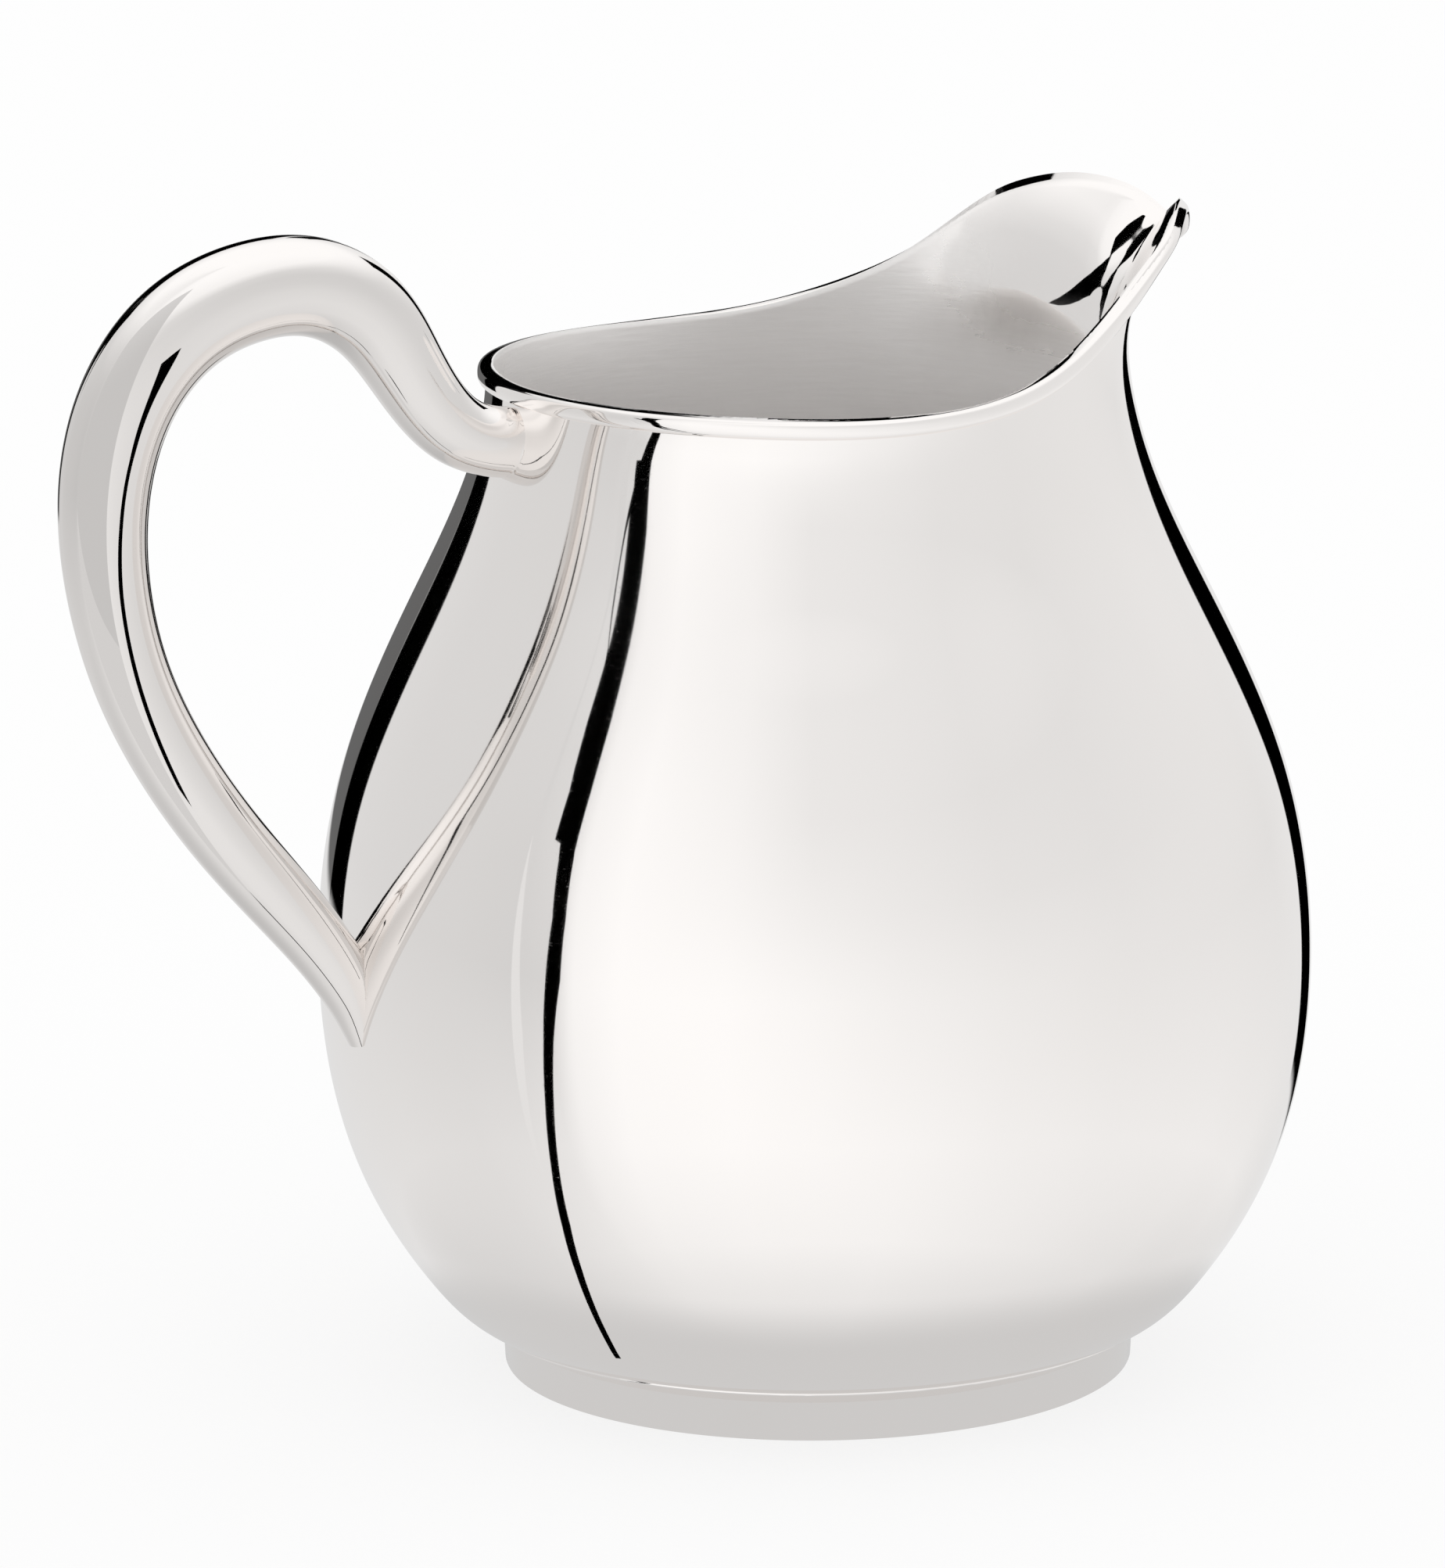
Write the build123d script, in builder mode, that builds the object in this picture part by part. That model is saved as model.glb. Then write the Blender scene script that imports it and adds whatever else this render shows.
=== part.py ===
from build123d import *
import os
from math import cos, exp, hypot, radians, sin, sqrt

# Water pitcher: a spun round body with a drawn spout, a wire soldered round its mouth,
# a foot ring, and a hollow handle struck as two halves and joined on the middle plane.
# Millimetres. The origin is the middle of the foot's resting plane, +Z is up,
# the spout points along +X and the handle along -X.

# Body: outer profile of the spun shell, as radius and height from the base up
shell_wall = 1.2
base_radius = 50.0
base_height = 8.0
seat_radius = 55.9
seat_height = 9.2
heel_radius = 63.6
heel_height = 16.0
hip_radius = 74.9
hip_height = 36.0
belly_radius = 80.0
belly_height = 66.5
chest_radius = 75.8
chest_height = 98.0
shoulder_radius = 64.6
shoulder_height = 125.0
throat_radius = 54.2
throat_height = 148.0
neck_radius = 50.4
neck_height = 165.0
collar_radius = 50.2
collar_height = 192.0

# Mouth: outer wall line seen from above, as turn from the spout and radius
tip_reach = 66.4
mouth_outline = (
    (3.5, 65.5),
    (8.0, 63.3),
    (14.0, 61.2),
    (20.0, 59.7),
    (26.0, 58.6),
    (31.0, 57.6),
    (36.0, 55.3),
    (42.0, 52.5),
    (50.0, 50.2),
    (61.0, 49.3),
    (75.0, 49.6),
    (91.0, 51.1),
    (111.0, 52.7),
    (133.0, 52.6),
    (157.0, 51.5),
)
mouth_back_radius = 50.9

# Lip: the mouth's edge seen from the side, as distance towards the spout and height
lip_back_height = 163.9
lip_line = (
    (-30.0, -0.6),
    (0.0, -0.5),
    (14.0, 1.2),
    (26.0, 5.1),
    (35.5, 10.1),
    (44.0, 15.9),
    (51.0, 20.4),
    (57.0, 22.7),
    (61.0, 22.3),
    (64.5, 19.7),
    (67.0, 15.6),
)

# Spout: where it leaves the round neck, how late it flares, and how much later at its flanks
spout_start = 145.0
spout_sharpness = 3.0
spout_flank_delay = 2.0
spout_flank_turn = 26.0
spout_flank_spread = 14.0
rings = 28

# Wire round the mouth
wire_proud = 1.3
wire_height = 3.0
wire_top_bevel = 0.4
wire_under_bevel = 0.7
wire_seat = 0.6

# Foot ring
foot_radius = 50.9
foot_shoulder_radius = 51.2
foot_shoulder_height = 6.5
foot_flange_height = 8.8
foot_wall = 1.3
foot_edge_bevel = 0.4

# Handle: centre points as distance out from the wall, height and radius of the tube.
# Upper points stand off the neck and the back of the lip, lower ones off the belly.
handle_upper = (
    (-2.5, -9.3, 5.7),
    (3.2, -8.6, 5.6),
    (8.6, -6.5, 5.7),
    (13.7, -1.5, 6.0),
    (18.1, 5.3, 6.5),
    (23.6, 12.9, 7.3),
    (32.1, 17.9, 7.75),
    (43.1, 18.1, 7.85),
    (54.4, 13.5, 7.85),
    (62.9, 4.1, 7.65),
    (67.6, -9.9, 7.2),
)
handle_lower = (
    (39.8, 71.5, 6.6),
    (36.0, 55.9, 6.2),
    (29.0, 41.5, 6.05),
    (20.0, 28.4, 5.9),
    (10.4, 16.6, 5.5),
    (4.6, 8.9, 5.0),
    (0.8, 2.0, 4.2),
    (-1.2, -5.5, 2.4),
)
handle_wall = 1.0

# Profile of the shell drawn flat: its X is the radius and its Y the height
with BuildLine() as profile_line:
    profile = Spline(
        (base_radius, base_height),
        (seat_radius, seat_height),
        (heel_radius, heel_height),
        (hip_radius, hip_height),
        (belly_radius, belly_height),
        (chest_radius, chest_height),
        (shoulder_radius, shoulder_height),
        (throat_radius, throat_height),
        (neck_radius, neck_height),
        (collar_radius, collar_height),
    )

# Lip seen from the side, drawn flat, from behind the mouth to in front of the tip
lip_points = [(x, lip_back_height + rise) for x, rise in lip_line]
lip_rear = -mouth_back_radius - wire_proud - 4
lip_front = tip_reach + wire_proud + 3
with BuildLine() as lip_curve_line:
    lip_curve = Spline(
        (lip_rear, lip_back_height),
        *lip_points,
        (lip_front, lip_points[-1][1] - 8),
    )


# Place on a flat curve where its X or Y reaches a value, found by halving
def reach(curve, value, axis):
    low = 0.0
    high = 1.0
    for step in range(30):
        middle = (low + high) / 2
        if getattr(curve @ middle, axis) < value:
            low = middle
        else:
            high = middle
    return curve @ low


def round_radius(height):
    return reach(profile, height, "Y").X


# The spout leaves the round neck above spout_start and grows to the mouth line
half = [(0.0, tip_reach), *mouth_outline, (180.0, mouth_back_radius)]
others = [(360.0 - turn, radius) for turn, radius in reversed(half[1:-1])]
mouth = []
for turn, radius in half + others:
    rim_height = reach(lip_curve, radius * cos(radians(turn)), "X").Y
    growth = radius - round_radius(rim_height)
    from_flank = (min(turn, 360.0 - turn) - spout_flank_turn) / spout_flank_spread
    sharpness = spout_sharpness + spout_flank_delay * exp(-(from_flank**2))
    mouth.append((radians(turn), rim_height, growth, sharpness))


def outer_radius(entry, height, around):
    turn, rim_height, growth, sharpness = entry
    share = max(0.0, (height - spout_start) / (rim_height - spout_start))
    if share <= 1:
        lift = share**sharpness
    else:
        lift = 1 + sharpness * (share - 1)
    return around + growth * lift


# Closed line of the shell at one height, set out (or in) square to the surface
def ring_points(height, skin):
    step = 0.05
    middle = round_radius(height)
    above = round_radius(height + step)
    points = []
    slopes = []
    for entry in mouth:
        radius = outer_radius(entry, height, middle)
        higher = outer_radius(entry, height + step, above)
        slopes.append((higher - radius) / step)
        points.append((radius * cos(entry[0]), radius * sin(entry[0])))
    moved = []
    for i, (x, y) in enumerate(points):
        before = points[i - 1]
        after = points[(i + 1) % len(points)]
        along_x = after[0] - before[0]
        along_y = after[1] - before[1]
        length = hypot(along_x, along_y)
        out_x = along_y / length
        out_y = -along_x / length
        facing = cos(mouth[i][0]) * out_x + sin(mouth[i][0]) * out_y
        shift = skin * sqrt(1 + (slopes[i] * facing) ** 2)
        moved.append((x + shift * out_x, y + shift * out_y))
    return moved


levels = [(profile @ (i / rings)).Y for i in range(rings + 1)]

# Solid inside the outer surface, up past the lip
with BuildPart() as filled:
    for height in levels:
        with BuildSketch(Plane.XY.offset(height)):
            with BuildLine():
                Spline(*ring_points(height, 0), periodic=True)
            make_face()
    loft()

# Space inside the wall, from the floor up
floor_height = base_height + shell_wall
with BuildPart() as hollow:
    for height in [floor_height] + [z for z in levels if z > floor_height + shell_wall]:
        with BuildSketch(Plane.XY.offset(height)):
            with BuildLine():
                Spline(*ring_points(height, -shell_wall), periodic=True)
            make_face()
    loft()

# Room above the lip, to the front and back of everything
with BuildPart() as above_lip:
    with BuildSketch(Plane.XZ):
        with BuildLine():
            add(lip_curve)
            Polyline(
                lip_curve @ 1,
                (lip_front + belly_radius, (lip_curve @ 1).Y),
                (lip_front + belly_radius, collar_height + 5),
                (lip_rear - belly_radius, collar_height + 5),
                (lip_rear - belly_radius, (lip_curve @ 0).Y),
                lip_curve @ 0,
            )
        make_face()
    extrude(amount=belly_radius, both=True)

with BuildPart() as body_shell:
    add(filled.part)
    add(hollow.part, mode=Mode.SUBTRACT)
    add(above_lip.part, mode=Mode.SUBTRACT)
body_shell.part.label = "body_shell"

# Wire: a bevelled strip against the wall below the lip, lofted round each side of the mouth
def wall_point(entry, height):
    radius = outer_radius(entry, height, round_radius(height))
    return Vector(radius * cos(entry[0]), radius * sin(entry[0]), height)


# Planes across the wire, with X out from the wall and Y down along it
lip_edge = [wall_point(entry, entry[1]) for entry in mouth]
wire_planes = []
for i, entry in enumerate(mouth):
    rise = lip_edge[i] - wall_point(entry, entry[1] - wire_height)
    along = (lip_edge[(i + 1) % len(mouth)] - lip_edge[i - 1]).normalized()
    wire_planes.append(Plane(origin=lip_edge[i], x_dir=along.cross(rise), z_dir=along))

back = len(half) - 1
with BuildPart() as rim_wire:
    for side in (wire_planes[: back + 1], wire_planes[back:] + wire_planes[:1]):
        for plane in side:
            with BuildSketch(plane):
                with BuildLine():
                    Polyline(
                        (-wire_seat, 0),
                        (wire_proud - wire_top_bevel, 0),
                        (wire_proud, wire_top_bevel),
                        (wire_proud, wire_height - wire_under_bevel),
                        (wire_proud - wire_under_bevel, wire_height),
                        (-wire_seat, wire_height),
                        close=True,
                    )
                make_face()
        loft()
    add(filled.part, mode=Mode.SUBTRACT)
rim_wire.part.label = "rim_wire"

# Foot ring: a short wall with a sloped flange that lies against the underside
with BuildPart() as foot_ring:
    with BuildSketch(Plane.XZ):
        with BuildLine():
            Polyline(
                (foot_radius - foot_wall, 0),
                (foot_radius, 0),
                (foot_shoulder_radius, foot_shoulder_height),
                (seat_radius - 0.2, foot_flange_height),
                (seat_radius - 0.2, heel_height),
                (foot_radius - foot_wall, heel_height),
                close=True,
            )
        make_face()
        corners = vertices().group_by(Axis.Z)[0]
        chamfer(corners, foot_edge_bevel)
    revolve(axis=Axis.Z)
    add(filled.part, mode=Mode.SUBTRACT)
foot_ring.part.label = "foot_ring"

# Handle centre line, from inside the neck wall up, over and down to the belly
neck_wall = round_radius(lip_back_height + handle_upper[0][1])
belly_wall = round_radius(belly_height + handle_lower[-1][1])
stations = [(-neck_wall - out, lip_back_height + up, r) for out, up, r in handle_upper]
stations += [(-belly_wall - out, belly_height + up, r) for out, up, r in handle_lower]
with BuildLine(Plane.XZ) as handle_line:
    centre = Spline(*[(x, z) for x, z, r in stations])
cuts = []
for x, z, radius in stations:
    along = centre % centre.param_at_point(Vector(x, 0, z))
    cuts.append((Plane(origin=(x, 0, z), x_dir=(0, 1, 0), z_dir=along), radius))

with BuildPart() as handle_tube:
    for plane, radius in cuts:
        with BuildSketch(plane):
            Circle(radius)
    loft()
with BuildPart() as handle_core:
    for plane, radius in cuts[:-1]:
        with BuildSketch(plane):
            Circle(radius - handle_wall)
    loft()
with BuildPart() as handle_whole:
    add(handle_tube.part)
    add(handle_core.part, mode=Mode.SUBTRACT)
    add(filled.part, mode=Mode.SUBTRACT)
    add(rim_wire.part, mode=Mode.SUBTRACT)
with BuildPart() as handle_left_half:
    add(handle_whole.part)
    split(bisect_by=Plane.XZ, keep=Keep.BOTTOM)
with BuildPart() as handle_right_half:
    add(handle_whole.part)
    split(bisect_by=Plane.XZ, keep=Keep.TOP)
handle_left_half.part.label = "handle_left_half"
handle_right_half.part.label = "handle_right_half"

os.makedirs("parts", exist_ok=True)
export_step(body_shell.part, "parts/body_shell.step")
export_step(rim_wire.part, "parts/rim_wire.step")
export_step(foot_ring.part, "parts/foot_ring.step")
export_step(handle_left_half.part, "parts/handle_left_half.step")
export_step(handle_right_half.part, "parts/handle_right_half.step")
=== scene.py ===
import math

import bpy
import numpy as np
from mathutils import Matrix, Vector


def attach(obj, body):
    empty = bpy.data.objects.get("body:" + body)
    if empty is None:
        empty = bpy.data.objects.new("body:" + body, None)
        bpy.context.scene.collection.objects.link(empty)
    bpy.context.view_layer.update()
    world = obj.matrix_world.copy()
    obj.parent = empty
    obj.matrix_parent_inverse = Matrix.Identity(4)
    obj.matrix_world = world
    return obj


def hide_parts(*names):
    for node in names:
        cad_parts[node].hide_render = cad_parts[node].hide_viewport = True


# Polished silver water pitcher. The piece's sizes are in millimetres and are made metres as they are placed.
# X runs towards the spout, Z up from the foot's resting plane, and the handle stands on the -X side.
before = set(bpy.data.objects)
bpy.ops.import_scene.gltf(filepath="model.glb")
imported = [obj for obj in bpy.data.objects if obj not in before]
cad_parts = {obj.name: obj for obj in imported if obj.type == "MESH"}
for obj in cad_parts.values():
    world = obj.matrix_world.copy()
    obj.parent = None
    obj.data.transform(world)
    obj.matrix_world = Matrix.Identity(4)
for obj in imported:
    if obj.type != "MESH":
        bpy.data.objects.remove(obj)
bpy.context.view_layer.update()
print("frame loaded")

mm = 0.001
weld = 0.000002  # points closer than this are one
nudge = 0.05  # short step used to read a slope


def naturalCurve(knots):
    # smooth line of values through (place, value) pairs
    x = np.array([k[0] for k in knots], float)
    y = np.array([k[1] for k in knots], float)
    n = len(x)
    h = np.diff(x)
    a = np.eye(n)
    r = np.zeros(n)
    for i in range(1, n - 1):
        a[i, i - 1], a[i, i], a[i, i + 1] = h[i - 1], 2 * (h[i - 1] + h[i]), h[i]
        r[i] = 3 * ((y[i + 1] - y[i]) / h[i] - (y[i] - y[i - 1]) / h[i - 1])
    c = np.linalg.solve(a, r)
    b = np.diff(y) / h - h * (2 * c[:-1] + c[1:]) / 3
    d = np.diff(c) / (3 * h)

    def at(t):
        t = np.asarray(t, float)
        i = np.clip(np.searchsorted(x, t) - 1, 0, n - 2)
        s = t - x[i]
        return y[i] + s * (b[i] + s * (c[i] + s * d[i]))

    return at


def runLength(points):
    # distance run along a line of points, from the first to each
    steps = [math.hypot(b[0] - a[0], b[1] - a[1]) for a, b in zip(points, points[1:])]
    return np.cumsum([0] + steps)


def deselectAll():
    if bpy.context.object and bpy.context.object.mode != "OBJECT":
        bpy.ops.object.mode_set(mode="OBJECT")
    bpy.ops.object.select_all(action="DESELECT")


def makeActive(piece):
    deselectAll()
    piece.select_set(True)
    bpy.context.view_layer.objects.active = piece


def nameNew(name):
    piece = bpy.context.object
    piece.name = name
    piece.data.name = name
    return piece


def pointStart(name):
    # one vertex at the origin, ready to be drawn out
    deselectAll()
    bpy.ops.mesh.primitive_plane_add(size=mm, location=(0, 0, 0))
    piece = nameNew(name)
    bpy.ops.object.mode_set(mode="EDIT")
    bpy.ops.mesh.select_all(action="SELECT")
    bpy.ops.mesh.merge(type="CENTER")
    return piece


def drawOut(points, closed=False):
    # draws a line of edges through points of the XZ plane from the one vertex
    last = Vector((0, 0, 0))
    for number, (x, z) in enumerate(points):
        place = Vector((x, 0, z))
        if number == 0:
            bpy.ops.transform.translate(value=place - last)
        else:
            bpy.ops.mesh.extrude_region_move(TRANSFORM_OT_translate={"value": place - last})
        last = place
    bpy.ops.mesh.select_all(action="SELECT")
    if closed:
        bpy.ops.mesh.edge_face_add()
        bpy.ops.mesh.delete(type="ONLY_FACE")
        bpy.ops.mesh.select_all(action="SELECT")


def spinRound(steps):
    bpy.ops.mesh.select_all(action="SELECT")
    bpy.ops.mesh.spin(steps=steps, angle=2 * math.pi, center=(0, 0, 0), axis=(0, 0, 1))
    bpy.ops.mesh.select_all(action="SELECT")
    bpy.ops.mesh.remove_doubles(threshold=weld)
    bpy.ops.mesh.normals_make_consistent(inside=False)
    bpy.ops.object.mode_set(mode="OBJECT")


def readPoints(piece):
    flat = np.empty(len(piece.data.vertices) * 3)
    piece.data.vertices.foreach_get("co", flat)
    return flat.reshape(-1, 3)


def writePoints(piece, points):
    piece.data.vertices.foreach_set("co", np.ascontiguousarray(points).ravel())
    piece.data.update()


def applyModifier(piece, kind, **values):
    makeActive(piece)
    made = piece.modifiers.new(kind.lower(), kind)
    for key, value in values.items():
        setattr(made, key, value)
    bpy.ops.object.modifier_apply(modifier=made.name)


def smooth(piece):
    makeActive(piece)
    bpy.ops.object.shade_smooth()


# body: spun shell with the spout drawn out of its neck
body = {
    "wall": 1.2,
    # outside of the shell as radius and height
    "profile": [(50.0, 8.0), (55.9, 9.2), (63.6, 16.0), (74.9, 36.0), (80.0, 66.5), (75.8, 98.0), (64.6, 125.0),
                (54.2, 148.0), (50.4, 165.0), (50.2, 192.0)],
    # mouth as turn from the spout and radius
    "mouth": [(0, 66.4), (3.5, 65.5), (8, 63.3), (14, 61.2), (20, 59.7), (26, 58.6), (31, 57.6), (36, 55.3),
              (42, 52.5), (50, 50.2), (61, 49.3), (75, 49.6), (91, 51.1), (111, 52.7), (133, 52.6), (157, 51.5),
              (180, 50.9)],
    # lip as distance towards the spout and height
    "lip": [(-60, 163.9), (-30, 163.3), (0, 163.4), (14, 165.1), (26, 169.0), (35.5, 174.0), (44, 179.8),
            (51, 184.3), (57, 186.6), (61, 186.2), (64.5, 183.6), (67, 179.5), (70.7, 171.5)],
    "spoutStart": 145.0,
    "sharpness": 3.0,
    "flankDelay": 2.0,
    "flankTurn": 26.0,
    "flankSpread": 14.0,
    "steps": 256,
    "levels": 150,
    "neckTop": 168.0,
    "floorRings": 12,
    "floorEdge": 1.5,
    "crowdTip": 0.55,  # how far the columns gather towards the tip
    "crowdFront": 0.35,
}

along = runLength(body["profile"])
profileRadius = naturalCurve([(s, p[0]) for s, p in zip(along, body["profile"])])
profileHeight = naturalCurve([(s, p[1]) for s, p in zip(along, body["profile"])])
finePlaces = np.linspace(0, along[-1], 2000)
fineHeights = profileHeight(finePlaces)
fineRadii = profileRadius(finePlaces)


def roundRadius(height):
    return np.interp(height, fineHeights, fineRadii)


wholeMouth = [(-t, r) for t, r in reversed(body["mouth"][1:])] + body["mouth"]
before = [(t - 360, r) for t, r in wholeMouth if 90 < t < 180]
after = [(t + 360, r) for t, r in wholeMouth if -180 < t < -90]
mouthRadius = naturalCurve(before + wholeMouth + after)
lipHeight = naturalCurve(body["lip"])


def rimHeight(turn):
    # height of the mouth's edge at a turn from the spout, in degrees
    return lipHeight(mouthRadius(turn) * np.cos(np.radians(turn)))


def wallRadius(turn, height):
    rim = rimHeight(turn)
    share = np.clip((height - body["spoutStart"]) / (rim - body["spoutStart"]), 0, None)
    fromTip = np.abs((np.asarray(turn) + 180) % 360 - 180)
    fromFlank = (fromTip - body["flankTurn"]) / body["flankSpread"]
    sharpness = body["sharpness"] + body["flankDelay"] * np.exp(-fromFlank ** 2)
    grow = np.where(share <= 1, share ** sharpness, 1 + sharpness * (share - 1))
    return roundRadius(height) + (mouthRadius(turn) - roundRadius(rim)) * grow


def turnsOf(points):
    # spreads the spun columns so that they stand closer together at the spout's tip
    turn = np.arctan2(points[:, 1], points[:, 0])
    return np.degrees(turn - body["crowdTip"] * np.sin(turn) * (1 + body["crowdFront"] * np.cos(turn)))


def makeShell():
    piece = pointStart("bodyShell")
    baseRadius, baseHeight = body["profile"][0]
    places = np.linspace(0, np.interp(body["neckTop"], fineHeights, finePlaces), body["levels"])
    floor = [(r * mm, baseHeight * mm) for r in np.linspace(0, baseRadius - body["floorEdge"], body["floorRings"])]
    wall = [(float(profileRadius(s)) * mm, float(profileHeight(s)) * mm) for s in places]
    drawOut(floor + wall)
    spinRound(body["steps"])
    points = readPoints(piece) / mm
    turn = turnsOf(points)
    height = points[:, 2].copy()
    radius = np.hypot(points[:, 0], points[:, 1])
    start = body["spoutStart"]
    upper = height > start
    rise = (height[upper] - start) / (body["neckTop"] - start)
    height[upper] = start + rise * (rimHeight(turn[upper]) - start)
    radius[upper] = wallRadius(turn[upper], height[upper])
    turn = np.radians(turn)
    writePoints(piece, np.stack([radius * np.cos(turn), radius * np.sin(turn), height], 1) * mm)
    piece.data.materials.append(materials["outside"])
    piece.data.materials.append(materials["inside"])
    applyModifier(piece, "SOLIDIFY", thickness=body["wall"] * mm, offset=-1, use_even_offset=True,
                  material_offset=1, material_offset_rim=0)
    smooth(piece)
    return piece


# wire soldered round the mouth
wire = {
    # section as distance out from the wall and rise above the lip
    "section": [(-1.22, -0.35), (-1.16, -0.08), (-1.0, 0.02), (-0.5, 0.03), (0.1, 0.02), (0.6, -0.03), (0.95, -0.22),
                (1.17, -0.52), (1.28, -0.95), (1.3, -1.5), (1.26, -2.0), (1.12, -2.42), (0.85, -2.74),
                (0.45, -2.92), (0.05, -3.0), (-0.4, -2.9), (-0.4, -1.6), (-0.9, -0.9)],
    "height": 3.0,
    "steps": 384,
    "rounds": 1,
    "spinRadius": 52.0,  # radius at which the ring is spun before it is laid to the lip
}


def mouthFrame(turn):
    # place on the mouth's edge, with the directions square out from the wall and up along it
    def place(t, lower=0.0):
        a = np.radians(t)
        h = rimHeight(t) - lower
        r = wallRadius(t, h)
        return np.stack([r * np.cos(a), r * np.sin(a), h], -1)

    here = place(turn)
    ahead = place(turn + nudge) - place(turn - nudge)
    ahead /= np.linalg.norm(ahead, axis=-1)[..., None]
    out = np.cross(ahead, here - place(turn, wire["height"]))
    out /= np.linalg.norm(out, axis=-1)[..., None]
    return here, out, np.cross(out, ahead)


def makeWire():
    piece = pointStart("rimWire")
    drawOut([((wire["spinRadius"] + a) * mm, b * mm) for a, b in wire["section"]], closed=True)
    spinRound(wire["steps"])
    points = readPoints(piece) / mm
    outBy = np.hypot(points[:, 0], points[:, 1]) - wire["spinRadius"]
    upBy = points[:, 2]
    here, out, up = mouthFrame(turnsOf(points))
    writePoints(piece, (here + outBy[:, None] * out + upBy[:, None] * up) * mm)
    piece.data.materials.append(materials["fittings"])
    applyModifier(piece, "SUBSURF", levels=wire["rounds"], render_levels=wire["rounds"])
    smooth(piece)
    return piece


# foot ring: short wall and sloped flange against the underside
foot = {
    # section as radius and height
    "section": [(49.6, 8.2), (49.6, 0.45), (49.75, 0.1), (50.1, 0.0), (50.4, 0.0), (50.75, 0.12), (50.9, 0.45),
                (51.2, 6.3), (51.28, 6.47), (51.5, 6.65), (55.55, 8.75), (55.72, 8.9), (55.75, 9.0), (55.6, 9.4)],
    "steps": 256,
    "edgeWidth": 0.08,
    "edgeSegments": 2,
    "edgeAngle": 25,
}


def makeFoot():
    piece = pointStart("footRing")
    drawOut([(r * mm, z * mm) for r, z in foot["section"]], closed=True)
    spinRound(foot["steps"])
    piece.data.materials.append(materials["fittings"])
    applyModifier(piece, "BEVEL", width=foot["edgeWidth"] * mm, segments=foot["edgeSegments"],
                  limit_method="ANGLE", angle_limit=math.radians(foot["edgeAngle"]))
    smooth(piece)
    return piece


# handle: hollow tube in two halves
handle = {
    # centre points as x, height and radius, from the neck to the belly
    "stations": [(-49.8, 154.6, 5.7), (-55.2, 155.3, 5.6), (-60.6, 157.4, 5.7), (-65.7, 162.4, 6.0),
                 (-70.1, 169.2, 6.5), (-75.6, 176.8, 7.3), (-84.1, 181.8, 7.75), (-95.1, 182.0, 7.85),
                 (-106.4, 177.4, 7.85), (-114.9, 168.0, 7.65), (-119.6, 154.0, 7.2), (-119.6, 138.0, 6.6),
                 (-115.8, 122.4, 6.2), (-108.8, 108.0, 6.05), (-99.8, 94.9, 5.9), (-90.2, 83.1, 5.5),
                 (-84.4, 75.4, 5.0), (-80.6, 68.5, 4.2), (-78.6, 61.0, 2.4)],
    "around": 28,
    "lengthwise": 300,
    "intoWall": 0.35,
    "seam": 0.05,  # depth of the fine groove where the halves meet
    "crowdSeam": 0.045,
}


def makeHandleHalf(name, hand):
    # half of the struck tube, on the side of the middle plane that the sign of hand gives
    stations = handle["stations"]
    run = runLength(stations)
    centreX = naturalCurve([(s, p[0]) for s, p in zip(run, stations)])
    centreZ = naturalCurve([(s, p[1]) for s, p in zip(run, stations)])
    tubeRadius = naturalCurve([(s, p[2]) for s, p in zip(run, stations)])
    deselectAll()
    bpy.ops.mesh.primitive_grid_add(x_subdivisions=handle["around"], y_subdivisions=handle["lengthwise"], size=1)
    half = nameNew(name)
    points = readPoints(half)
    share = points[:, 0] + 0.5
    angle = hand * math.pi * (share - handle["crowdSeam"] * np.sin(2 * math.pi * share))
    s = (points[:, 1] + 0.5) * run[-1]
    x, z, r = centreX(s), centreZ(s), tubeRadius(s)
    alongX = centreX(s + nudge) - centreX(s - nudge)
    alongZ = centreZ(s + nudge) - centreZ(s - nudge)
    size = np.hypot(alongX, alongZ)
    acrossX, acrossZ = -alongZ / size, alongX / size
    r = r - handle["seam"] * ((share < 0.001) | (share > 0.999))
    placed = np.stack([x + r * np.cos(angle) * acrossX, r * np.sin(angle), z + r * np.cos(angle) * acrossZ], 1)
    reach = np.hypot(placed[:, 0], placed[:, 1])
    wall = roundRadius(placed[:, 2]) - handle["intoWall"]
    inside = reach < wall
    placed[inside, :2] *= (wall[inside] / reach[inside])[:, None]
    writePoints(half, placed * mm)
    bpy.ops.object.mode_set(mode="EDIT")
    bpy.ops.mesh.select_all(action="SELECT")
    bpy.ops.mesh.remove_doubles(threshold=weld)
    if hand > 0:
        bpy.ops.mesh.flip_normals()
    bpy.ops.object.mode_set(mode="OBJECT")
    half.data.materials.append(materials["handle"])
    smooth(half)
    return half


# node helpers shared by the materials and the room
def dotNode(tree, vector, direction):
    node = tree.nodes.new("ShaderNodeVectorMath")
    node.operation = "DOT_PRODUCT"
    node.inputs[1].default_value = direction
    tree.links.new(vector, node.inputs[0])
    return node.outputs["Value"]


def mathNode(tree, operation, first, second=None):
    node = tree.nodes.new("ShaderNodeMath")
    node.operation = operation
    for socket, value in zip(node.inputs, (first, second)):
        if isinstance(value, (int, float)):
            socket.default_value = value
        elif value is not None:
            tree.links.new(value, socket)
    return node.outputs["Value"]


def mixNode(tree, share, first, second):
    node = tree.nodes.new("ShaderNodeMix")
    node.data_type = "RGBA"
    tree.links.new(share, node.inputs["Factor"])
    for socket, value in ((node.inputs[6], first), (node.inputs[7], second)):
        if isinstance(value, tuple):
            socket.default_value = value
        else:
            tree.links.new(value, socket)
    return node.outputs[2]


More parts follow.
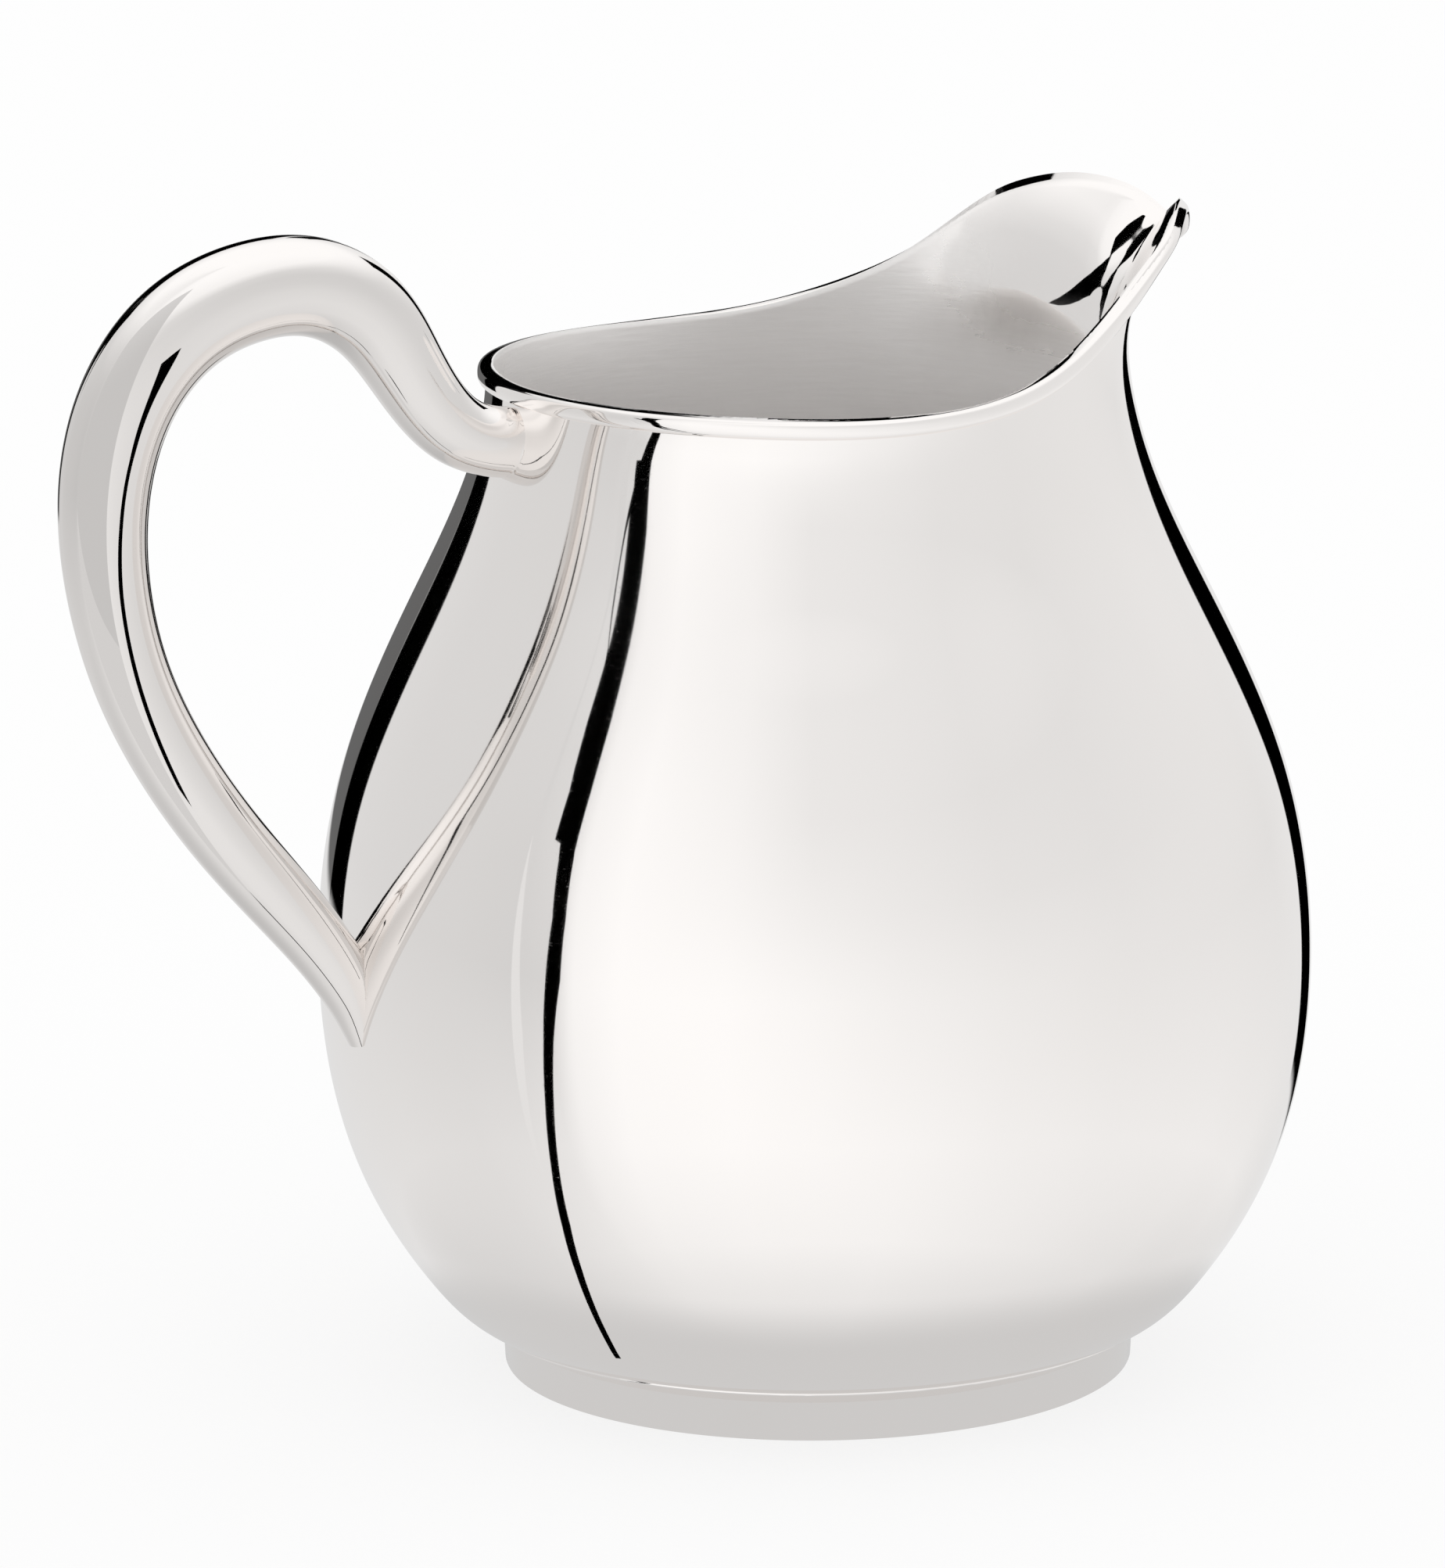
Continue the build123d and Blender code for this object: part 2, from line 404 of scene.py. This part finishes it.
def stretchNode(tree, value, low, high, kind="LINEAR"):
    # nought at the low number and one at the high one
    node = tree.nodes.new("ShaderNodeMapRange")
    node.interpolation_type = kind
    node.inputs["From Min"].default_value = low
    node.inputs["From Max"].default_value = high
    tree.links.new(value, node.inputs["Value"])
    return node.outputs["Result"]


def smoothStep(tree, value, low, high):
    return stretchNode(tree, value, low, high, "SMOOTHSTEP")


def greysAlong(tree, value, places, greys):
    # grey values at places along a number
    low, high = places[0], places[-1]
    ramp = tree.nodes.new("ShaderNodeValToRGB")
    stops = ramp.color_ramp.elements
    while len(stops) < len(places):
        stops.new(0.5)
    for stop, place, grey in zip(stops, places, greys):
        stop.position = (place - low) / (high - low)
        stop.color = (grey, grey, grey, 1)
    tree.links.new(stretchNode(tree, value, low, high), ramp.inputs["Fac"])
    return ramp.outputs["Color"]


def noiseNode(tree, vector, pattern):
    # a pattern is scale, detail and, where it is drawn out, the stretch of each axis
    scale, detail, *stretch = pattern
    if stretch:
        mapping = tree.nodes.new("ShaderNodeMapping")
        mapping.inputs["Scale"].default_value = stretch[0]
        tree.links.new(vector, mapping.inputs["Vector"])
        vector = mapping.outputs["Vector"]
    noise = tree.nodes.new("ShaderNodeTexNoise")
    noise.inputs["Scale"].default_value = scale
    noise.inputs["Detail"].default_value = detail
    tree.links.new(vector, noise.inputs["Vector"])
    return noise.outputs["Fac"]


def newGroup(name, inputs, outputs):
    group = bpy.data.node_groups.new(name, "ShaderNodeTree")
    for label, kind in inputs:
        group.interface.new_socket(label, in_out="INPUT", socket_type=kind)
    for label, kind in outputs:
        group.interface.new_socket(label, in_out="OUTPUT", socket_type=kind)
    return group, group.nodes.new("NodeGroupInput"), group.nodes.new("NodeGroupOutput")


# hairline marks of the polishing wheel, and the soft unevenness of worked metal under them
polishMarks = {"hairs": (900, 2.0, (1, 1, 6)), "hairsShow": (0.55, 0.8),
               "crossing": (700, 2.0, (5, 5, 0.7)), "crossingShows": (0.4, 0.7),
               "haze": (14, 2.0), "hazeShows": (0.35, 0.75), "uneven": (38, 1.0),
               "markRough": 0.09, "hazeRough": 0.025, "markHeight": 0.04}


def makePolishMarks():
    group, given, result = newGroup("polishMarks", [("Vector", "NodeSocketVector"), ("Amount", "NodeSocketFloat")],
                                    [("Roughness", "NodeSocketFloat"), ("Height", "NodeSocketFloat")])
    place = given.outputs["Vector"]
    hairs = smoothStep(group, noiseNode(group, place, polishMarks["hairs"]), *polishMarks["hairsShow"])
    crossing = smoothStep(group, noiseNode(group, place, polishMarks["crossing"]), *polishMarks["crossingShows"])
    haze = smoothStep(group, noiseNode(group, place, polishMarks["haze"]), *polishMarks["hazeShows"])
    marks = mathNode(group, "MULTIPLY", hairs, crossing)
    rough = mathNode(group, "ADD", mathNode(group, "MULTIPLY", marks, polishMarks["markRough"]),
                     mathNode(group, "MULTIPLY", haze, polishMarks["hazeRough"]))
    group.links.new(mathNode(group, "MULTIPLY", rough, given.outputs["Amount"]), result.inputs["Roughness"])
    uneven = noiseNode(group, place, polishMarks["uneven"])
    height = mathNode(group, "ADD", mathNode(group, "MULTIPLY", marks, polishMarks["markHeight"]), uneven)
    group.links.new(height, result.inputs["Height"])
    return group


# short level brush marks left by finishing the inside by hand
satinMarks = {"brush": (120, 4.0, (1, 1, 11)), "brushShare": 0.6, "slanted": (260, 3.0, (0.6, 1, 5)),
              "slantedShare": 0.4, "shadeShows": (0.3, 0.7)}


def makeSatinMarks():
    group, given, result = newGroup("satinMarks", [("Vector", "NodeSocketVector"), ("Amount", "NodeSocketFloat")],
                                    [("Roughness", "NodeSocketFloat"), ("Height", "NodeSocketFloat"),
                                     ("Shade", "NodeSocketFloat")])
    place = given.outputs["Vector"]
    brush = noiseNode(group, place, satinMarks["brush"])
    slanted = noiseNode(group, place, satinMarks["slanted"])
    both = mathNode(group, "ADD", mathNode(group, "MULTIPLY", brush, satinMarks["brushShare"]),
                    mathNode(group, "MULTIPLY", slanted, satinMarks["slantedShare"]))
    rough = mathNode(group, "MULTIPLY", mathNode(group, "SUBTRACT", both, 0.5), given.outputs["Amount"])
    group.links.new(rough, result.inputs["Roughness"])
    group.links.new(both, result.inputs["Height"])
    group.links.new(smoothStep(group, both, *satinMarks["shadeShows"]), result.inputs["Shade"])
    return group


# faint warm film in scattered patches, such as polishing misses
tarnish = {"patches": (22, 4.0), "patchesShow": (0.45, 0.8)}


def makeTarnish():
    group, given, result = newGroup("tarnishFilm", [("Vector", "NodeSocketVector"), ("Clean", "NodeSocketColor"),
                                                    ("Film", "NodeSocketColor"), ("Amount", "NodeSocketFloat")],
                                    [("Color", "NodeSocketColor")])
    noise = noiseNode(group, given.outputs["Vector"], tarnish["patches"])
    share = mathNode(group, "MULTIPLY", smoothStep(group, noise, *tarnish["patchesShow"]), given.outputs["Amount"])
    group.links.new(mixNode(group, share, given.outputs["Clean"], given.outputs["Film"]), result.inputs["Color"])
    return group


effects = {"polish": makePolishMarks(), "satin": makeSatinMarks(), "tarnish": makeTarnish()}


def useGroup(tree, group, **values):
    node = tree.nodes.new("ShaderNodeGroup")
    node.node_tree = group
    for label, value in values.items():
        if isinstance(value, (int, float, tuple)):
            node.inputs[label].default_value = value
        else:
            tree.links.new(value, node.inputs[label])
    return node


def startMaterial(name):
    made = bpy.data.materials.new(name)
    made.use_nodes = True
    tree = made.node_tree
    return made, tree, tree.nodes["Principled BSDF"]


def startMetal(name):
    made, tree, shader = startMaterial(name)
    shader.inputs["Metallic"].default_value = 1.0
    return made, tree, shader, tree.nodes.new("ShaderNodeTexCoord").outputs["Object"]


def addBump(tree, shader, height, strength, distance):
    bump = tree.nodes.new("ShaderNodeBump")
    if isinstance(strength, (int, float)):
        bump.inputs["Strength"].default_value = strength
    else:
        tree.links.new(strength, bump.inputs["Strength"])
    bump.inputs["Distance"].default_value = distance
    tree.links.new(height, bump.inputs["Height"])
    tree.links.new(bump.outputs["Normal"], shader.inputs["Normal"])


# colours of the metal in its several states, with a darker silver painted on the handle's sides as shade, and the
# finish of each piece in metres where it is a depth
silver = {"clean": (0.955, 0.928, 0.91, 1), "film": (0.925, 0.892, 0.862, 1), "satin": (0.985, 0.968, 0.955, 1),
          "satinShade": (0.955, 0.937, 0.924, 1), "darkerBack": (0.87, 0.85, 0.835, 1), "side": (0.80, 0.775, 0.757, 1)}
finishes = {
    "outside": {"name": "polishedSilver", "rough": 0.02, "marks": 1.0, "film": 0.25, "depth": 0.00001, "side": 0},
    "fittings": {"name": "fittingSilver", "rough": 0.03, "marks": 0.8, "film": 0.5, "depth": 0.000008, "side": 0},
    # the handle's side value is how much painted shade its sides get
    "handle": {"name": "handleSilver", "rough": 0.025, "marks": 0.9, "film": 0.35, "depth": 0.000008, "side": 1.0},
}
polishStrength = 0.2
# how far the normal points up where the handle's painted side shade starts
paintedSideShadeShows = (0.75, 0.3)  # upward part of the normal where the top ends and the side begins


def makePolishedSilver(finish):
    # painted shade on the handle's sides: where the normal turns from upward, the colour is mixed towards a darker
    # silver, standing in for the darker reflection of the sides
    made, tree, shader, place = startMetal(finish["name"])
    marks = useGroup(tree, effects["polish"], Vector=place, Amount=finish["marks"])
    film = useGroup(tree, effects["tarnish"], Vector=place, Clean=silver["clean"], Film=silver["film"],
                    Amount=finish["film"])
    colour = film.outputs["Color"]
    if finish["side"]:
        upward = dotNode(tree, tree.nodes.new("ShaderNodeNewGeometry").outputs["Normal"], (0, 0, 1))
        share = mathNode(tree, "MULTIPLY", smoothStep(tree, upward, *paintedSideShadeShows), finish["side"])
        colour = mixNode(tree, share, colour, silver["side"])
    tree.links.new(colour, shader.inputs["Base Color"])
    tree.links.new(mathNode(tree, "ADD", marks.outputs["Roughness"], finish["rough"]), shader.inputs["Roughness"])
    addBump(tree, shader, marks.outputs["Height"], polishStrength, finish["depth"])
    return made


# inside: satin, running over into polish where the spout is drawn, and darker towards the handle's side
inside = {"marks": 0.22, "wander": (90, 3.0), "wanderWidth": 0.012, "polishForward": (0.032, 0.050),
          "polishAbove": (0.152, 0.170), "darkerBackSpan": (-0.002, -0.045), "rough": 0.36, "polishRough": 0.03,
          "satinMetal": 0.15, "polishMetal": 0.85, "strength": 0.35, "depth": 0.0002}


def makeSatinSilver(name):
    made, tree, shader, place = startMetal(name)
    marks = useGroup(tree, effects["satin"], Vector=place, Amount=inside["marks"])
    split = tree.nodes.new("ShaderNodeSeparateXYZ")
    tree.links.new(place, split.inputs["Vector"])
    wander = mathNode(tree, "MULTIPLY", mathNode(tree, "SUBTRACT", noiseNode(tree, place, inside["wander"]), 0.5),
                      inside["wanderWidth"])
    forward = smoothStep(tree, mathNode(tree, "ADD", split.outputs["X"], wander), *inside["polishForward"])
    above = smoothStep(tree, split.outputs["Z"], *inside["polishAbove"])
    spout = mathNode(tree, "MULTIPLY", forward, above)
    shade = mixNode(tree, marks.outputs["Shade"], silver["satinShade"], silver["satin"])
    # the colour turns darker towards the handle's side
    darkerBack = smoothStep(tree, split.outputs["X"], *inside["darkerBackSpan"])
    shade = mixNode(tree, darkerBack, shade, silver["darkerBack"])
    tree.links.new(mixNode(tree, spout, shade, silver["clean"]), shader.inputs["Base Color"])
    rough = mathNode(tree, "ADD", marks.outputs["Roughness"], inside["rough"])
    satin = mathNode(tree, "SUBTRACT", 1.0, spout)
    rough = mathNode(tree, "ADD", mathNode(tree, "MULTIPLY", rough, satin), inside["polishRough"])
    tree.links.new(rough, shader.inputs["Roughness"])
    metal = mathNode(tree, "ADD", mathNode(tree, "MULTIPLY", spout, inside["polishMetal"]), inside["satinMetal"])
    tree.links.new(metal, shader.inputs["Metallic"])
    strength = mathNode(tree, "MULTIPLY", satin, inside["strength"])
    addBump(tree, shader, marks.outputs["Height"], strength, inside["depth"])
    return made


materials = {part: makePolishedSilver(finish) for part, finish in finishes.items()}
materials["inside"] = makeSatinSilver("satinSilver")
print("silver finishes made")

shell = makeShell()
print("shell made")
rim = makeWire()
print("wire made")
ring = makeFoot()
print("foot made")
left = makeHandleHalf("handleLeftHalf", 1)
right = makeHandleHalf("handleRightHalf", -1)
print("handle made")

for piece, node, slotName in ((shell, "body_shell", "silver_body"), (rim, "rim_wire", "silver_fittings"),
                              (ring, "foot_ring", "silver_fittings"), (left, "handle_left_half", "silver_handle"),
                              (right, "handle_right_half", "silver_handle")):
    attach(piece, "root")
    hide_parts(node)

# camera: its turn and height over the pitcher in degrees, and how far the aim is moved left and up, in metres
view = {"azimuth": -25.0, "elevation": 13.068, "distance": 1.3999, "aim": (0.0, 0.0, 0.08), "left": 0.0146,
        "above": 0.01447, "roll": -0.6, "lens": 199.52, "sensor": 36, "farthest": 20}

az, el = math.radians(view["azimuth"]), math.radians(view["elevation"])
back = Vector((math.sin(az) * math.cos(el), -math.cos(az) * math.cos(el), math.sin(el)))
side = Vector((math.cos(az), math.sin(az), 0))
front = Vector((back.x, back.y, 0)).normalized()


def makeCamera():
    bpy.ops.object.camera_add()
    camera = bpy.context.object
    camera.name = "camera"
    camera.location = Vector(view["aim"]) + back * view["distance"]
    target = Vector(view["aim"]) - side * view["left"] + back.cross(side) * view["above"]
    look = (target - camera.location).normalized()
    rightward = look.cross(Vector((0, 0, 1))).normalized()
    upward = rightward.cross(look)
    roll = math.radians(view["roll"])
    rightward, upward = (rightward * math.cos(roll) + upward * math.sin(roll),
                         upward * math.cos(roll) - rightward * math.sin(roll))
    camera.matrix_world = Matrix((
        (rightward.x, upward.x, -look.x, camera.location.x),
        (rightward.y, upward.y, -look.y, camera.location.y),
        (rightward.z, upward.z, -look.z, camera.location.z),
        (0, 0, 0, 1)))
    camera.data.lens = view["lens"]
    camera.data.sensor_width = view["sensor"]
    camera.data.clip_end = view["farthest"]
    bpy.context.scene.camera = camera


makeCamera()
print("camera set")

# surroundings: a pale room that the silver reflects, greys by turn from the front at several heights
room = {
    "turns": (-180, -150, -120, -90, -72, -62, -57, -45, -20, 0, 20, 45, 75, 110, 135, 155, 180),
    "levels": {
        -0.97: (0.59, 0.59, 0.62, 0.72, 0.77, 0.80, 0.81, 0.82, 0.83, 0.83, 0.83, 0.80, 0.76, 0.69, 0.64, 0.61,
                0.59),
        -0.77: (0.58, 0.60, 0.68, 0.75, 0.82, 0.86, 0.89, 0.93, 0.96, 0.96, 0.95, 0.91, 0.86, 0.79, 0.69, 0.63,
                0.60),
        -0.47: (0.76, 0.79, 0.79, 0.77, 0.79, 0.85, 0.93, 1.01, 1.03, 1.01, 0.98, 0.93, 0.90, 0.90, 0.88, 0.80,
                0.78),
        -0.07: (0.76, 0.74, 0.72, 0.70, 0.68, 0.70, 0.98, 1.04, 1.04, 0.99, 0.93, 0.88, 0.84, 0.82, 0.79, 0.83,
                0.84),
        0.20: (0.80, 0.76, 0.72, 0.71, 0.69, 0.74, 0.97, 1.03, 0.99, 0.92, 0.87, 0.82, 0.80, 0.82, 0.84, 0.86,
               0.86),
        0.47: (0.80, 0.76, 0.72, 0.72, 0.72, 0.76, 0.96, 1.02, 0.96, 0.86, 0.84, 0.80, 0.79, 0.83, 0.90, 0.92,
               0.86),
        0.64: (0.96, 0.92, 0.86, 0.80, 0.78, 0.80, 0.95, 0.99, 0.94, 0.86, 0.84, 0.82, 0.86, 0.96, 1.02, 1.02,
               0.98),
        0.80: (1.04, 1.04, 1.02, 0.94, 0.92, 0.94, 0.98, 1.02, 1.04, 1.04, 1.04, 1.04, 1.04, 1.04, 1.04, 1.04,
               1.04),
    },
    # dark gaps in the walls: their turns, the height they start at, and how far they lean as they rise
    "gaps": [{"from": 148.8, "to": 162.5, "above": -0.31, "lean": -22, "shade": 0},
             {"from": -180.0, "to": -151.5, "above": -0.19, "lean": 8, "shade": 0.13},
             {"from": -151.5, "to": -139.0, "above": -0.19, "lean": 12, "shade": 0},
             {"from": -181.0, "to": -150.0, "above": 0.06, "lean": 8, "shade": 0},
             {"from": 173.0, "to": 181.0, "above": 0.06, "lean": 0, "shade": 0}],
    "gapEdge": 0.4,
    "gapFoot": 0.02,
    "gapTop": 0.5,
}


def band(tree, value, first, last):
    # one inside a stretch of numbers and nought outside, with a narrow edge
    edge = room["gapEdge"]
    rising = smoothStep(tree, value, first - edge, first + edge)
    falling = smoothStep(tree, value, last + edge, last - edge)
    return mathNode(tree, "MULTIPLY", rising, falling)


def makeRoom():
    world = bpy.data.worlds.new("whiteRoom")
    bpy.context.scene.world = world
    world.use_nodes = True
    tree = world.node_tree
    direction = tree.nodes.new("ShaderNodeTexCoord").outputs["Generated"]
    turn = mathNode(tree, "ARCTAN2", dotNode(tree, direction, side), dotNode(tree, direction, front))
    turn = mathNode(tree, "MULTIPLY", turn, 180 / math.pi)
    height = dotNode(tree, direction, (0, 0, 1))
    seen = reached = None
    for level, greys in room["levels"].items():
        walls = greysAlong(tree, turn, room["turns"], greys)
        if reached is not None:
            walls = mixNode(tree, stretchNode(tree, height, reached, level), seen, walls)
        seen = walls
        reached = level
    for gap in room["gaps"]:
        leaning = mathNode(tree, "SUBTRACT", turn, mathNode(tree, "MULTIPLY", height, gap["lean"]))
        sideways = band(tree, leaning, gap["from"], gap["to"])
        upright = smoothStep(tree, height, gap["above"], gap["above"] + room["gapFoot"])
        share = mathNode(tree, "MULTIPLY", sideways, upright)
        under = mathNode(tree, "LESS_THAN", height, room["gapTop"])
        seen = mixNode(tree, mathNode(tree, "MULTIPLY", share, under), seen, (gap["shade"],) * 3 + (1,))
    ray = tree.nodes.new("ShaderNodeLightPath")
    colour = mixNode(tree, ray.outputs["Is Glossy Ray"], (1, 1, 1, 1), seen)
    tree.links.new(colour, tree.nodes["Background"].inputs["Color"])


makeRoom()
print("room made")


def onlyReflected(card):
    # seen in the silver alone, and no part of the pitcher
    card.visible_camera = False
    card.visible_diffuse = False
    card.visible_shadow = False


def makeCard(name, corners, grey=0.0):
    # a flat card with its corners in order as (right, front, up) in millimetres
    deselectAll()
    bpy.ops.mesh.primitive_plane_add(size=1)
    card = bpy.context.object
    card.name = name
    places = [side * x + front * y + Vector((0, 0, z)) for x, y, z in corners]
    writePoints(card, np.array([places[i] for i in (0, 1, 3, 2)]) * mm)
    made, tree, shader = startMaterial(name)
    shader.inputs["Base Color"].default_value = (0, 0, 0, 1)
    shader.inputs["Specular IOR Level"].default_value = 0
    shader.inputs["Emission Color"].default_value = (grey, grey, grey, 1)
    shader.inputs["Emission Strength"].default_value = 1
    card.data.materials.append(made)
    onlyReflected(card)


def makeRibbon(name, edges):
    # a run of cards between left and right edge points
    for number, (first, second) in enumerate(zip(edges, edges[1:])):
        makeCard("%s%d" % (name, number), [first[0], first[1], second[1], second[0]])


# long dark strip at the front left, as its left and right edges from top to bottom and then along the floor
strip = [((-259, 160, 173), (-244, 185, 168)), ((-253, 157, 216), (-238, 181, 217)),
         ((-242, 148, 254), (-225, 171, 257)), ((-234, 139, 285), (-216, 161, 290)),
         ((-231, 138, 288), (-214, 159, 294)), ((-233, 139, 279), (-219, 158, 284)),
         ((-242, 145, 248), (-230, 161, 253)), ((-251, 153, 225), (-238, 171, 230)),
         ((-259, 163, 197), (-246, 181, 202)), ((-266, 176, 160), (-254, 192, 165)),
         ((-269, 184, 112), (-259, 199, 114)), ((-274, 183, 60), (-263, 200, 63)),
         ((-271, 177, 13), (-264, 189, 14)), ((-182, 129.5, 0.3), (-179, 137, 0.3)),
         ((-118, 95.5, 0.3), (-115.5, 99.5, 0.3)), ((-80.5, 74.5, 0.3), (-78.5, 77.5, 0.3)),
         ((-61.5, 63, 0.3), (-60, 65, 0.3)), ((-48, 54.3, 0.3), (-46.8, 55.6, 0.3)),
         ((-38, 47.9, 0.3), (-37, 48.8, 0.3))]
makeRibbon("strip", strip)

# narrow dark edge just over the spout
spoutEdge = [((26.9, -30.7, 166.9), (26.9, -30.7, 166.9)), ((28.6, -29.0, 169.4), (28.4, -29.4, 167.2)),
             ((30.5, -27.3, 172.2), (30.2, -27.6, 168.6)), ((33.1, -25.1, 175.9), (32.1, -25.2, 170.9)),
             ((35.9, -23.4, 178.9), (34.6, -22.9, 173.8)), ((39.3, -22.4, 182.0), (37.5, -21.8, 177.3)),
             ((42.5, -22.2, 184.7), (40.5, -22.0, 180.8)), ((45.5, -22.6, 187.0), (43.0, -23.0, 183.5)),
             ((48.0, -23.3, 188.8), (45.3, -24.7, 185.8)), ((50.4, -24.3, 190.4), (48.4, -25.4, 188.6)),
             ((52.3, -25.6, 191.8), (51.6, -25.8, 191.2))]
makeRibbon("spoutEdge", spoutEdge)

# grey screens that keep the strip from the handle's side of the body
screens = {
    "sideScreen": {"corners": [(-350, 168, 119), (-103, 80, 119), (-103, 74, 258), (-350, 160, 440)], "grey": 0.70},
    "sideScreenFoot": {"corners": [(-350, 176, 2), (-103, 84, 2), (-103, 80, 119), (-350, 168, 119)], "grey": 0.80},
}
for name, screen in screens.items():
    makeCard(name, screen["corners"], screen["grey"])

# narrow dark post beside the handle: its centre line from top to bottom, and half its width right and front
post = {
    "line": [(-86.0, 71.5, 174), (-78.0, 75.5, 160), (-74.0, 77.0, 149), (-77.0, 80.0, 139), (-81.0, 85.0, 128),
             (-83.5, 88.5, 114), (-87.0, 93.0, 98), (-92.0, 96.5, 80), (-96.0, 98.0, 66)],
    "half": (2.4, -2.8),
}
halfRight, halfFront = post["half"]
makeRibbon("post", [((x - halfRight, y - halfFront, z), (x + halfRight, y + halfFront, z))
                    for x, y, z in post["line"]])

# the shade under the bowl, which the foot reflects: radius, where it fades, and height over the floor in metres
footShade = {"radius": 0.085, "fade": (0.066, 0.083), "height": 0.0001, "corners": 96, "grey": 0.63}


def makeFootShade():
    deselectAll()
    bpy.ops.mesh.primitive_circle_add(vertices=footShade["corners"], radius=footShade["radius"], fill_type="NGON",
                                      location=(0, 0, footShade["height"]))
    disc = bpy.context.object
    disc.name = "footShade"
    made, tree, shader = startMaterial("footShade")
    length = tree.nodes.new("ShaderNodeVectorMath")
    length.operation = "LENGTH"
    tree.links.new(tree.nodes.new("ShaderNodeTexCoord").outputs["Object"], length.inputs[0])
    clear = tree.nodes.new("ShaderNodeBsdfTransparent")
    grey = tree.nodes.new("ShaderNodeEmission")
    grey.inputs["Color"].default_value = (footShade["grey"],) * 3 + (1,)
    mix = tree.nodes.new("ShaderNodeMixShader")
    tree.links.new(smoothStep(tree, length.outputs["Value"], *footShade["fade"]), mix.inputs["Fac"])
    tree.links.new(grey.outputs["Emission"], mix.inputs[1])
    tree.links.new(clear.outputs["BSDF"], mix.inputs[2])
    tree.links.new(mix.outputs["Shader"], tree.nodes["Material Output"].inputs["Surface"])
    disc.data.materials.append(made)
    onlyReflected(disc)


makeFootShade()
print("cards placed")

# wide pale floor, white with the pitcher's soft shadow, and out of the silver's sight
floor = {"size": 6, "colour": (0.96, 0.96, 0.96, 1), "glow": 0.75}


def makeFloor():
    deselectAll()
    bpy.ops.mesh.primitive_plane_add(size=floor["size"])
    ground = bpy.context.object
    ground.name = "paleFloor"
    made, tree, shader = startMaterial("paleFloor")
    shader.inputs["Base Color"].default_value = floor["colour"]
    shader.inputs["Roughness"].default_value = 1.0
    shader.inputs["Specular IOR Level"].default_value = 0.0
    white = tree.nodes.new("ShaderNodeEmission")
    ray = tree.nodes.new("ShaderNodeLightPath")
    mix = tree.nodes.new("ShaderNodeMixShader")
    share = mathNode(tree, "MULTIPLY", ray.outputs["Is Camera Ray"], floor["glow"])
    tree.links.new(share, mix.inputs["Fac"])
    tree.links.new(shader.outputs["BSDF"], mix.inputs[1])
    tree.links.new(white.outputs["Emission"], mix.inputs[2])
    tree.links.new(mix.outputs["Shader"], tree.nodes["Material Output"].inputs["Surface"])
    ground.data.materials.append(made)
    ground.visible_glossy = False


makeFloor()
print("floor laid")
bpy.context.scene.view_settings.view_transform = "Standard"
